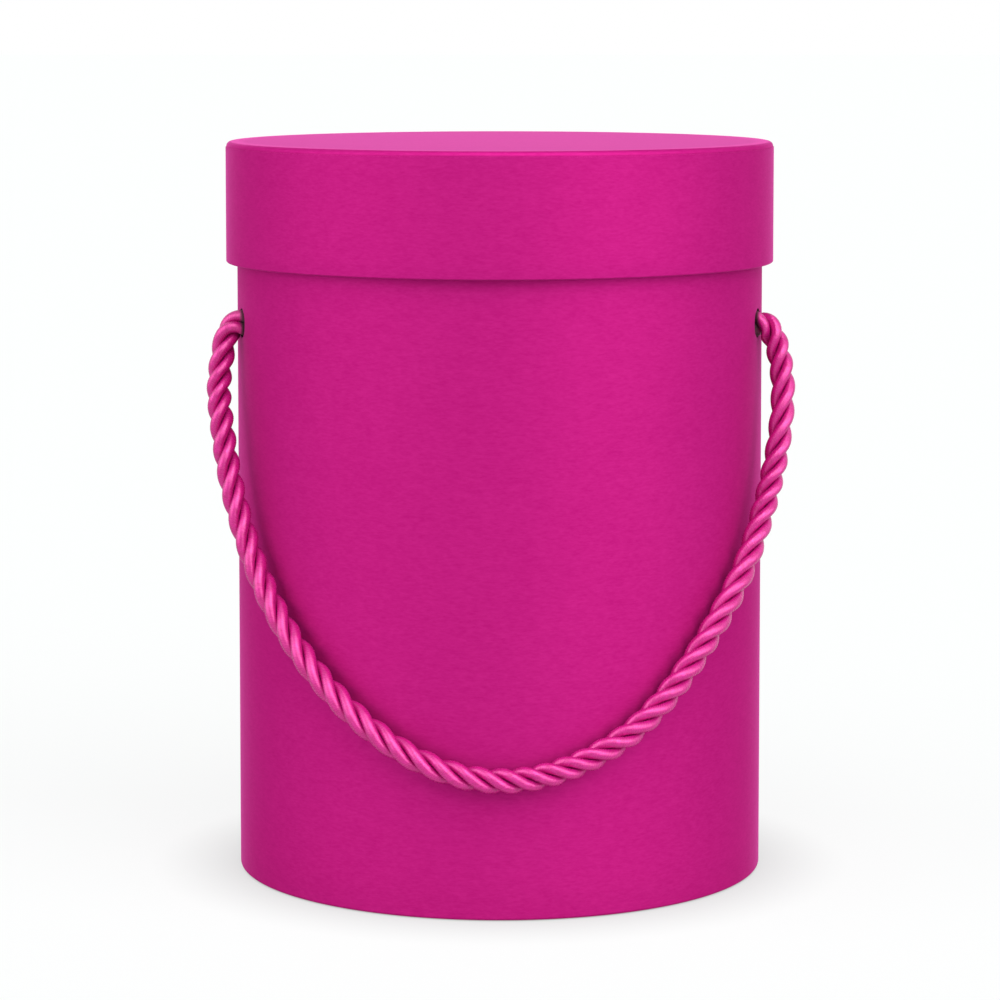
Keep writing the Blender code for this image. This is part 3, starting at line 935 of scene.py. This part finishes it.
outer, inner = SKIRT_RADIUS, SKIRT_INNER_RADIUS
profile = joined(
    straight((inner, LID_HEM + SKIRT_TURN_IN), (inner, LID_HEM + HEM_INNER), 5),
    arc((inner + HEM_INNER, LID_HEM + HEM_INNER), HEM_INNER, 180, 270),
    arc((outer - HEM_OUTER, LID_HEM + HEM_OUTER), HEM_OUTER, 270, 360, 8),
    straight((outer, LID_HEM + HEM_OUTER), (outer, SKIRT_TOP), 8),
)
angles = round_angles(lap=LID_LAP_PLACE)
places = turned(profile, angles)
drop = PAPER * LAP_DROP * (1 - lap_rise(angles, LID_LAP_PLACE, outer))
beyond = ((angles - LID_LAP_PLACE) % (2 * math.pi)) * outer
fade = np.clip(1 - beyond / LAP_FADE, 0, 1)
on_outside = (profile[:, 0] > outer - HEM_OUTER)[:, None]
places[..., :2] *= (1 - np.where(on_outside, drop * fade / outer, 0))[..., None]
lid_skirt = grid_piece("lid_skirt_strip", places, magenta_paper, "lid")
add_thickness(lid_skirt, PAPER)
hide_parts("lid_skirt_cover")


# The lid's lining: a strip of the off-white paper round the inside, over the turned-in hem.

LID_LINING_INNER = 0.0910
LID_LINING_BOTTOM = 0.2135
LID_LINING_TOP = 0.2477

profile = straight((LID_LINING_INNER, LID_LINING_TOP), (LID_LINING_INNER, LID_LINING_BOTTOM), 8)
places = turned(profile, round_angles())
lid_lining = grid_piece("lid_lining_strip", places, lining_paper, "lid")
add_thickness(lid_lining, PAPER)
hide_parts("lid_rim_lining")


# The studio: a wide pale floor, a pale surround, and four big soft lights, one to each side, one in
# front and one overhead. The camera and reflections see the surround as plain white, and the camera
# sees the floor as white too, but for the box's shadow.

FLOOR_HALF = 20
# The floor's paint as the box sees it, and the part of it that the lights show the camera
FLOOR_PAINT = (0.63, 0.63, 0.63, 1)
FLOOR_LIT = (0.11, 0.12, 0.117, 1)
# The floor's own glowing white for the camera, and the shade painted into it by ambient occlusion
# close to the box: how much of the white it takes away, and how close
FLOOR_WHITE = 0.83
FLOOR_SHADE = 0.37
FLOOR_SHADE_REACH = 0.032
SURROUND_STRENGTH = 0.354

floor_mesh = bpy.data.meshes.new("floor")
corners = np.array([(-1, -1, 0), (1, -1, 0), (1, 1, 0), (-1, 1, 0)]) * FLOOR_HALF
floor_mesh.from_pydata(corners.tolist(), [], [(0, 1, 2, 3)])
floor = bpy.data.objects.new("floor", floor_mesh)
bpy.context.collection.objects.link(floor)
floor_paint = bpy.data.materials.new("floor_paint")
floor_paint.use_nodes = True
tree = floor_paint.node_tree
tree.nodes.clear()
seen = tree.nodes.new("ShaderNodeLightPath")
lit = tree.nodes.new("ShaderNodeBsdfDiffuse")
tint = add_mix(tree, seen.outputs["Is Camera Ray"], FLOOR_PAINT, FLOOR_LIT)
tree.links.new(tint, lit.inputs["Color"])
close = tree.nodes.new("ShaderNodeAmbientOcclusion")
close.samples = 16
close.inputs["Distance"].default_value = FLOOR_SHADE_REACH
shade = add_math(tree, "MULTIPLY", close.outputs["AO"], FLOOR_SHADE)
shade = add_math(tree, "ADD", shade, FLOOR_WHITE - FLOOR_SHADE)
white = tree.nodes.new("ShaderNodeEmission")
shade = add_math(tree, "MULTIPLY", shade, seen.outputs["Is Camera Ray"])
tree.links.new(shade, white.inputs["Strength"])
both = tree.nodes.new("ShaderNodeAddShader")
tree.links.new(lit.outputs[0], both.inputs[0])
tree.links.new(white.outputs[0], both.inputs[1])
surface = tree.nodes.new("ShaderNodeOutputMaterial")
tree.links.new(both.outputs[0], surface.inputs["Surface"])
floor_mesh.materials.append(floor_paint)

world = bpy.data.worlds.new("studio")
bpy.context.scene.world = world
world.use_nodes = True
tree = world.node_tree
tree.nodes.clear()
surround = tree.nodes.new("ShaderNodeBackground")
surround.inputs["Color"].default_value = (1, 1, 1, 1)
surround.inputs["Strength"].default_value = SURROUND_STRENGTH
backdrop = tree.nodes.new("ShaderNodeBackground")
backdrop.inputs["Color"].default_value = (1, 1, 1, 1)
seen = tree.nodes.new("ShaderNodeLightPath")
both = tree.nodes.new("ShaderNodeMixShader")
seen_white = add_math(tree, "MAXIMUM", seen.outputs["Is Camera Ray"], seen.outputs["Is Glossy Ray"])
seen_white = add_math(tree, "MAXIMUM", seen_white, seen.outputs["Is Transmission Ray"])
tree.links.new(seen_white, both.inputs["Fac"])
tree.links.new(surround.outputs[0], both.inputs[1])
tree.links.new(backdrop.outputs[0], both.inputs[2])
surface = tree.nodes.new("ShaderNodeOutputWorld")
tree.links.new(both.outputs[0], surface.inputs["Surface"])


def add_lamp(name, azimuth, elevation, strength, width):
    """A far soft light; azimuth in degrees from the front towards the right, strength in watts to
    the square metre, width in degrees as the box sees it."""
    data = bpy.data.lights.new(name, "SUN")
    data.energy = strength
    data.angle = math.radians(width)
    lamp = bpy.data.objects.new(name, data)
    lamp.rotation_euler = (math.radians(90 - elevation), 0, math.radians(azimuth))
    bpy.context.collection.objects.link(lamp)


add_lamp("left_light", -68, 12.4, 2.05, 63)
add_lamp("right_light", 54, 21, 2.44, 63)
add_lamp("front_light", 4, 50, 1.95, 49)
add_lamp("top_light", 0, 78, 0.47, 50)

bpy.context.scene.view_settings.view_transform = "Standard"
